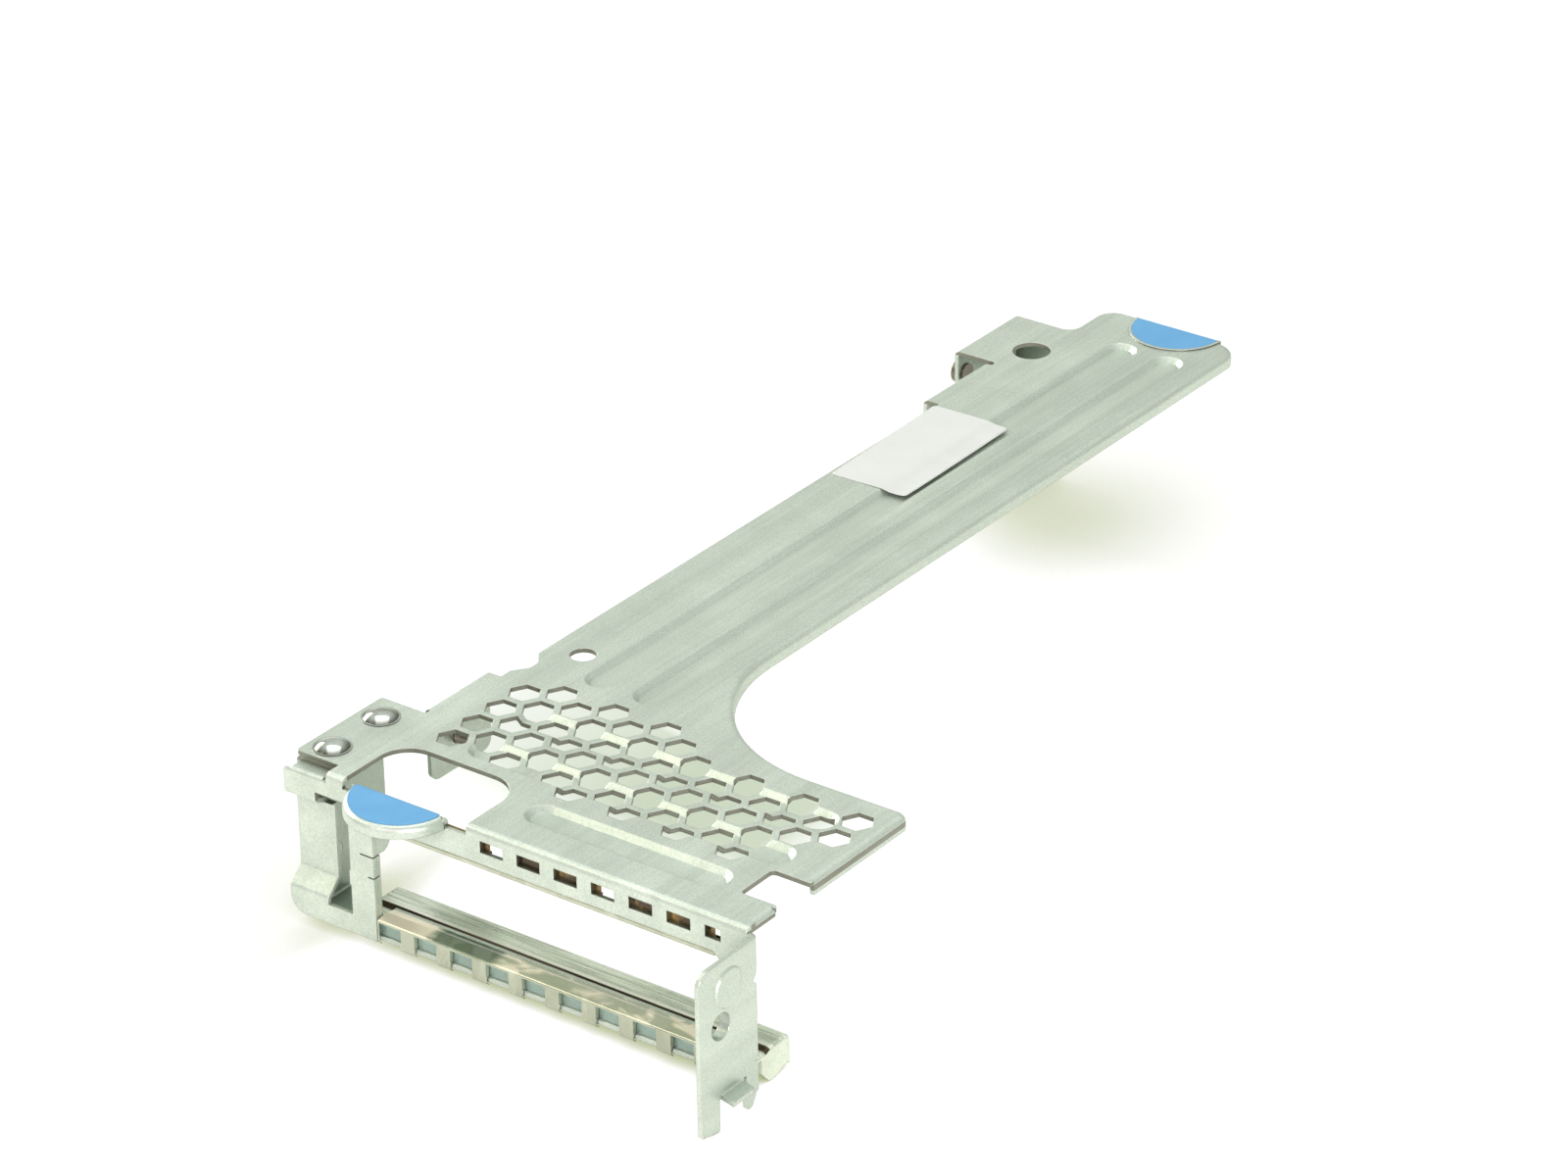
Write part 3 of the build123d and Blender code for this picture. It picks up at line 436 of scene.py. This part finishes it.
def new_material(name):
    """A material with one Principled shader, and the object's own coordinates."""
    material = bpy.data.materials.new(name)
    material.use_nodes = True
    tree = material.node_tree
    shader = tree.nodes["Principled BSDF"]
    place = tree.nodes.new("ShaderNodeTexCoord").outputs["Object"]
    return material, tree, shader, place


def relief(tree, shader, height, strength, distance, normal=None):
    """Gives a material a fine relief, over a normal of its own where it has one."""
    bump = put(tree, "ShaderNodeBump", Height=height, Strength=strength, Distance=distance)
    if normal is not None:
        wire(tree, bump.inputs["Normal"], normal)
    wire(tree, shader.inputs["Normal"], bump.outputs[0])


def pressed_step(tree, effects, place, level, coat):
    """The step along the rail: a painted shadow line, and a painted highlight behind it."""
    across = split(tree, place)["Y"]
    for colour, start, end in zip((DARK_PAINTED_SHADE, STEP_PAINTED_HIGHLIGHT), RAIL_STEP, RAIL_STEP[1:]):
        line = use(tree, effects["between"], Value=across, Low=start, High=end, Softness=STEP_SOFT)["Mask"]
        coat = mix_colour(tree, multiply(tree, line, level), coat, colour)
    return coat


def galvanised(name, effects, colour, pale, roughness, stain=0.35, lines=0.03, grain_turn=0.0, step=False):
    """Galvanised sheet: cloudy zinc over rolled steel, with raw steel and painted shade on its cut edges, a
    warm edge colour that is partly worn metal and partly a painted highlight on folds, painted shade in
    corners and recesses, and, where asked, a painted shadow line and highlight along the rail's step.
    """
    material, tree, shader, place = new_material(name)
    grain = use(tree, effects["grain"], Position=turn_level(tree, place, grain_turn))
    bloom = use(tree, effects["bloom"], Position=place)
    marks = use(tree, effects["marks"], Position=place)
    worn_and_highlight = use(tree, effects["worn_and_highlight"], Width=0.4 * MM, Rounding=0.35 * MM, Breakup=bloom["Clouds"])
    cut = use(tree, effects["cut"], Position=place)["Mask"]
    painted_shade = use(tree, effects["painted_shade"], Position=place)
    level = math_node(tree, "GREATER_THAN", facing(tree)["Z"], LEVEL)

    coat = mix_colour(tree, remap(tree, bloom["Clouds"], 0.32, 0.68, 0.3, 0.7), colour, pale)
    coat = mix_colour(tree, remap(tree, grain["Bands"], 0.35, 0.68, 0.0, stain), coat, ZINC_STAIN)
    # Grain lines on upward faces; at high contrast, as on the rail, they are painted reflection streaks
    line = remap(tree, grain["Lines"], 0.42, 0.62, 1.0 - lines, 1.0 + lines)
    coat = mix_colour(tree, level, coat, mix_colour(tree, 1.0, coat, line, "MULTIPLY"))
    coat = mix_colour(tree, 1.0, coat, follow(tree, bloom["Speckle"], 0.88, 1.08), "MULTIPLY")
    coat = mix_colour(tree, multiply(tree, marks["Scratches"], 0.22), coat, BRIGHT_STEEL)
    # Warm edges and folds: partly worn metal, partly a painted highlight
    coat = mix_colour(tree, multiply(tree, worn_and_highlight["Mask"], 0.4), coat, WARM_EDGE_WORN_AND_HIGHLIGHT)
    if step:
        coat = pressed_step(tree, effects, place, level, coat)
    # Raw steel on cut edges, with painted shade inside the holes
    raw_and_shaded = multiply(tree, cut, follow(tree, bloom["Clouds"], 0.75, 0.95))
    coat = mix_colour(tree, raw_and_shaded, coat, CUT_STEEL_AND_SHADE)
    # Painted shade in corners, on the set-back bar and in deep hollows
    coat = mix_colour(tree, painted_shade["Mask"], coat, RECESS_PAINTED_SHADE, "MULTIPLY")
    coat = mix_colour(tree, painted_shade["Depth"], coat, DEEP_PAINTED_SHADE, "MULTIPLY")

    rough = follow(tree, bloom["Clouds"], roughness - 0.05, roughness + 0.08)
    rough = math_node(tree, "SUBTRACT", rough, multiply(tree, marks["Rubbed"], 0.04))
    height = math_node(tree, "ADD", grain["Lines"], multiply(tree, bloom["Speckle"], 0.6))
    wire(tree, shader.inputs["Base Color"], coat)
    wire(tree, shader.inputs["Roughness"], rough)
    shader.inputs["Metallic"].default_value = ZINC_METALLIC
    relief(tree, shader, height, 0.12, 0.06 * MM, worn_and_highlight["Rounded normal"])
    return material


def bright_metal(name, effects, colour, shade, roughness, painted_dark_toward_base):
    """Polished metal with faint tarnish and fine rubbing, and a painted dark reflection toward the base of
    a dome.
    """
    material, tree, shader, place = new_material(name)
    bloom = use(tree, effects["bloom"], Position=place, Patches_per_metre=220.0)
    marks = use(tree, effects["marks"], Position=place, Scratches_per_metre=420.0)
    metal = mix_colour(tree, remap(tree, bloom["Clouds"], 0.38, 0.66), colour, shade)
    # Painted dark reflection where the surface steepens
    steep = remap(tree, facing(tree, "Normal")["Z"], *DOME_STEEPENS)
    wire(tree, shader.inputs["Base Color"], mix_colour(tree, steep, metal, painted_dark_toward_base))
    wire(tree, shader.inputs["Roughness"], follow(tree, bloom["Clouds"], roughness, roughness + 0.08))
    shader.inputs["Metallic"].default_value = 1.0
    relief(tree, shader, marks["Scratches"], 0.2, 0.03 * MM)
    return material


def spring_strip(name, effects, inside_height):
    """Bright spring steel with warm, greenish and dark patches of painted reflection on top, and painted
    shade inside the face.
    """
    material, tree, shader, place = new_material(name)
    bloom = use(tree, effects["bloom"], Position=place, Patches_per_metre=160.0)
    drawn = vector_node(tree, "MULTIPLY", place, (1.0, 1.6, 0.4))[0]
    patches = put(tree, "ShaderNodeTexNoise", Vector=drawn, Scale=150.0, Detail=1.0, Distortion=0.8)
    along = split(tree, place)["X"]
    right = remap(tree, along, DARK_STRETCH_START - MM, DARK_STRETCH_START + MM)
    dark_reflection_stretch = use(
        tree, effects["between"],
        Value=along, Low=DARK_STRETCH_START, High=DARK_STRETCH_END, Softness=2 * MM,
    )["Mask"]
    # Patches of painted reflection on the tops, and a dark painted reflection along one stretch
    greenish_reflection = multiply(tree, remap(tree, patches.outputs[0], 0.58, 0.46), right)
    top = mix_colour(tree, greenish_reflection, SPRING_STEEL, GREENISH_PAINTED_REFLECTION)
    top = mix_colour(tree, dark_reflection_stretch, top, DARK_STRETCH_PAINTED_REFLECTION)
    finger = mix_colour(tree, follow(tree, bloom["Clouds"], 0.0, 1.0), SPRING_FINGER, SPRING_FINGER_DULL)
    # Upward faces take the painted reflections; the fingers keep a plainer tone
    steel = mix_colour(tree, remap(tree, facing(tree)["Z"], 0.4, 0.8), finger, top)
    # Painted shade inside the face, broken by painted golden glints
    inside = remap(tree, split(tree, place)["Z"], inside_height, inside_height + 0.2 * MM)
    shaded = mix_colour(tree, remap(tree, bloom["Clouds"], 0.45, 0.62), DARK_PAINTED_SHADE, GOLD_PAINTED_GLINT)
    wire(tree, shader.inputs["Base Color"], mix_colour(tree, inside, steel, shaded))
    wire(tree, shader.inputs["Roughness"], follow(tree, bloom["Clouds"], 0.14, 0.26))
    wire(tree, shader.inputs["Metallic"], remap(tree, greenish_reflection, 0.0, 1.0, 0.55, 0.85))
    relief(tree, shader, bloom["Clouds"], 0.3, 0.2 * MM)
    return material


def touch_plastic(effects):
    """Satin blue coat of the touch points, faintly rubbed by fingers."""
    material, tree, shader, place = new_material("touch point blue")
    bloom = use(tree, effects["bloom"], Position=place, Patches_per_metre=120.0)
    rubbed = remap(tree, bloom["Clouds"], 0.35, 0.7)
    wire(tree, shader.inputs["Base Color"], mix_colour(tree, rubbed, TOUCH_BLUE, TOUCH_BLUE_RUBBED))
    wire(tree, shader.inputs["Roughness"], follow(tree, bloom["Clouds"], 0.42, 0.55))
    relief(tree, shader, bloom["Speckle"], 0.15, 0.05 * MM)
    return material


def label_paper(effects):
    """Coated paper with faint fibres."""
    material, tree, shader, place = new_material("label paper")
    bloom = use(tree, effects["bloom"], Position=place, Patches_per_metre=90.0)
    shade = follow(tree, bloom["Clouds"], 0.0, 1.0)
    wire(tree, shader.inputs["Base Color"], mix_colour(tree, shade, PAPER, PAPER_SHADE))
    wire(tree, shader.inputs["Roughness"], follow(tree, bloom["Speckle"], 0.45, 0.6))
    relief(tree, shader, bloom["Speckle"], 0.1, 0.04 * MM)
    return material


def label_point(u, v, turn, middle):
    """A point of the label, where u and v run from -0.5 to 0.5 across and along it."""
    across, along = LABEL_SIZE
    from_end = min(LABEL_CORNER, (0.5 - abs(v)) * along)
    inset = LABEL_CORNER - math.sqrt(LABEL_CORNER**2 - (LABEL_CORNER - from_end) ** 2)
    flat = turn @ Vector((u * (across - 2 * inset), v * along, 0)) + middle
    lift = LABEL_LIFT * max(0, u + 0.5) ** 3 * max(0, 0.5 - v) ** 4
    dip = LABEL_DIP * math.exp(-(((flat.x - BEAD_X) / BEAD_HALF) ** 4))
    return flat.x, flat.y, PLATE_TOP + LABEL_GAP + lift - dip


def make_label(paper):
    """Blank label with soft corners: it dips over the arm's bead and lifts at one corner."""
    low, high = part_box("part_label")
    turn = Matrix.Rotation(math.radians(LABEL_TURN), 4, "Z")
    build = bmesh.new()
    points = []
    for row in range(LABEL_ROWS + 1):
        v = math.sin(math.pi * (row / LABEL_ROWS - 0.5)) / 2
        for column in range(LABEL_COLUMNS + 1):
            u = column / LABEL_COLUMNS - 0.5
            points.append(build.verts.new(label_point(u, v, turn, (low + high) / 2)))
    for row in range(LABEL_ROWS):
        for column in range(LABEL_COLUMNS):
            first = row * (LABEL_COLUMNS + 1) + column
            second = first + LABEL_COLUMNS + 1
            quad = (first, first + 1, second + 1, second)
            build.faces.new([points[index] for index in quad]).smooth = True
    mesh = bpy.data.meshes.new("blank_label")
    build.to_mesh(mesh)
    build.free()
    label = bpy.data.objects.new("blank_label", mesh)
    bpy.context.scene.collection.objects.link(label)
    thickness = label.modifiers.new("paper thickness", "SOLIDIFY")
    thickness.thickness = LABEL_THICK
    thickness.offset = 1
    mesh.materials.append(paper)
    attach(label, "root")
    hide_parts("part_label")


def dress(node, material):
    """Gives a CAD node its finish."""
    slots = NODES[node].material_slots
    if slots:
        for slot in slots:
            slot.link = "OBJECT"
            slot.material = material
    else:
        NODES[node].data.materials.append(material)


def make_effects():
    """The effects that several finishes share."""
    between = make_between()
    return {
        "grain": make_rolled_grain(),
        "bloom": make_zinc_bloom(),
        "worn_and_highlight": make_edge_mask(),
        "marks": make_handling_marks(),
        "between": between,
        "cut": make_cut_edges(between),
        "painted_shade": make_painted_shade(between),
    }


def dress_nodes():
    """Gives every node its finish, and the label its own piece."""
    effects = make_effects()
    sheet = galvanised("galvanised sheet", effects, ZINC, ZINC_PALE, 0.36)
    # The rail's paler zinc and strong grain lines are partly painted sheen and painted reflection streaks
    rail = galvanised(
        "galvanised rail", effects, RAIL_ZINC_AND_SHEEN, RAIL_ZINC_AND_SHEEN_PALE, 0.20,
        stain=0.3, lines=0.25, grain_turn=math.pi / 2, step=True,
    )
    # The bracket takes a darker copy of the zinc: painted shade inside the corner
    bracket = galvanised("galvanised bracket", effects, ZINC_STAIN, ZINC, 0.40)
    rivet = bright_metal("bright rivet steel", effects, BRIGHT_STEEL, RIVET_SHADE, 0.10, RIVET_PAINTED_DARK_REFLECTION)
    screw = bright_metal("screw steel", effects, SCREW_STEEL, SCREW_TONE_AND_PAINTED_DARK, 0.25, SCREW_TONE_AND_PAINTED_DARK)
    blue = touch_plastic(effects)
    finishes = {
        "cage_frame": sheet,
        "corner_bracket": bracket,
        "slot_rail": rail,
        "corner_rivet_front": rivet,
        "corner_rivet_rear": rivet,
        "lower_emi_gasket": spring_strip("lower gasket spring", effects, PLATE_TOP),
        "upper_emi_gasket": spring_strip("upper gasket spring", effects, UPPER_GASKET_INSIDE),
        "riser_screw_front": screw,
        "riser_screw_rear": screw,
        "locating_stud": screw,
        "front_touch_pad": blue,
        "rear_touch_pad": blue,
    }
    for node, material in finishes.items():
        dress(node, material)
    make_label(label_paper(effects))


def make_camera():
    """The camera that took the photograph."""
    data = bpy.data.cameras.new("camera")
    data.lens = LENS
    data.sensor_width = SENSOR
    data.clip_end = CAMERA_REACH
    camera = bpy.data.objects.new("camera", data)
    camera.location = CAMERA_PLACE
    camera.rotation_euler = [math.radians(angle) for angle in CAMERA_TURN]
    bpy.context.scene.collection.objects.link(camera)
    bpy.context.scene.camera = camera


def seen_or_lit(tree, seen, lit, out):
    """Shows one shader to the camera, and another to light and reflections."""
    mix = tree.nodes.new("ShaderNodeMixShader")
    tree.links.new(tree.nodes.new("ShaderNodeLightPath").outputs["Is Camera Ray"], mix.inputs[0])
    tree.links.new(lit.outputs[0], mix.inputs[1])
    tree.links.new(seen.outputs[0], mix.inputs[2])
    tree.links.new(mix.outputs[0], out)


def shadow_on_floor(tree, place):
    """White that turns to a soft warm shade where the part stands close over the floor."""
    behind = remap(tree, place["Y"], *SHADOW_BEHIND)
    beneath = remap(tree, place["X"], *SHADOW_BENEATH)
    rearward = math_node(tree, "MAXIMUM", behind, beneath)
    whole = remap(tree, rearward, 0.0, 1.0, OPEN_IN_FRONT, OPEN_BEHIND)
    open_sky = put(tree, "ShaderNodeAmbientOcclusion", {"samples": 12}, Distance=SHADOW_REACH).outputs["AO"]
    return mix_colour(tree, remap(tree, open_sky, 0.0, whole), FLOOR_SHADE, WHITE)


def shade_behind_vents(tree, place):
    """1 on the floor that shows through the vents, less toward its left."""
    slanted = math_node(tree, "ADD", place["Y"], multiply(tree, place["X"], VENT_SHADE_SLANT))
    return multiply(
        tree,
        remap(tree, place["X"], *VENT_SHADE_LEFT),
        remap(tree, place["X"], *VENT_SHADE_DEEPENS, VENT_SHADE_LEAST, 1.0),
        remap(tree, place["X"], *VENT_SHADE_RIGHT),
        remap(tree, place["Y"], *VENT_SHADE_FRONT),
        remap(tree, slanted, *VENT_SHADE_REAR),
    )


def make_floor():
    """White floor that still takes the part's shadow."""
    half = FLOOR_SIZE / 2
    mesh = bpy.data.meshes.new("floor")
    corners = [(-half, -half, 0), (half, -half, 0), (half, half, 0), (-half, half, 0)]
    mesh.from_pydata(corners, [], [(0, 1, 2, 3)])
    floor = bpy.data.objects.new("floor", mesh)
    bpy.context.scene.collection.objects.link(floor)
    material, tree, plain, position = new_material("studio floor")
    plain.inputs["Base Color"].default_value = FLOOR_PLAIN
    plain.inputs["Roughness"].default_value = FLOOR_ROUGHNESS
    place = split(tree, position)
    white = shadow_on_floor(tree, place)
    white = mix_colour(tree, shade_behind_vents(tree, place), white, VENT_SHADE)
    glow = put(tree, "ShaderNodeEmission", Color=white, Strength=1.0)
    matte = put(tree, "ShaderNodeBsdfDiffuse", Color=FLOOR_MATTE)
    seen = tree.nodes.new("ShaderNodeAddShader")
    tree.links.new(glow.outputs[0], seen.inputs[0])
    tree.links.new(matte.outputs[0], seen.inputs[1])
    seen_or_lit(tree, seen, plain, tree.nodes["Material Output"].inputs["Surface"])
    mesh.materials.append(material)


def make_world():
    """White to the camera; for light and reflections a pale tent with a dark room in front."""
    world = bpy.data.worlds.new("studio")
    bpy.context.scene.world = world
    world.use_nodes = True
    tree = world.node_tree
    for node in list(tree.nodes):
        tree.nodes.remove(node)
    around = tree.nodes.new("ShaderNodeTexCoord").outputs["Generated"]
    tent = mix_colour(tree, remap(tree, split(tree, around)["Z"], *TENT_PALES), TENT_LOW, TENT_HIGH)
    toward_room = vector_node(tree, "DOT_PRODUCT", around, CAMERA_PLACE.normalized())["Value"]
    mirrored = tree.nodes.new("ShaderNodeLightPath").outputs["Is Glossy Ray"]
    opening = multiply(tree, remap(tree, toward_room, *ROOM_OPENS), mirrored)
    room = mix_colour(tree, opening, tent, ROOM_DARK)
    lit = put(tree, "ShaderNodeBackground", Color=room, Strength=TENT_STRENGTH)
    seen = put(tree, "ShaderNodeBackground", Color=WHITE, Strength=1.0)
    out = tree.nodes.new("ShaderNodeOutputWorld")
    seen_or_lit(tree, seen, lit, out.inputs["Surface"])


def make_lamps():
    """Soft boxes round the part, and a card that lights the front corner."""
    for name, (place, aim, size, power, colour) in LAMPS.items():
        data = bpy.data.lights.new(name, "AREA")
        data.color = colour
        data.shape = "RECTANGLE"
        data.size, data.size_y = size
        data.energy = power
        lamp = bpy.data.objects.new(name, data)
        lamp.location = place
        lamp.rotation_euler = (Vector(aim) - Vector(place)).to_track_quat("-Z", "Y").to_euler()
        bpy.context.scene.collection.objects.link(lamp)


make_camera()
make_world()
make_lamps()
make_floor()
dress_nodes()
bpy.context.scene.view_settings.view_transform = "Standard"
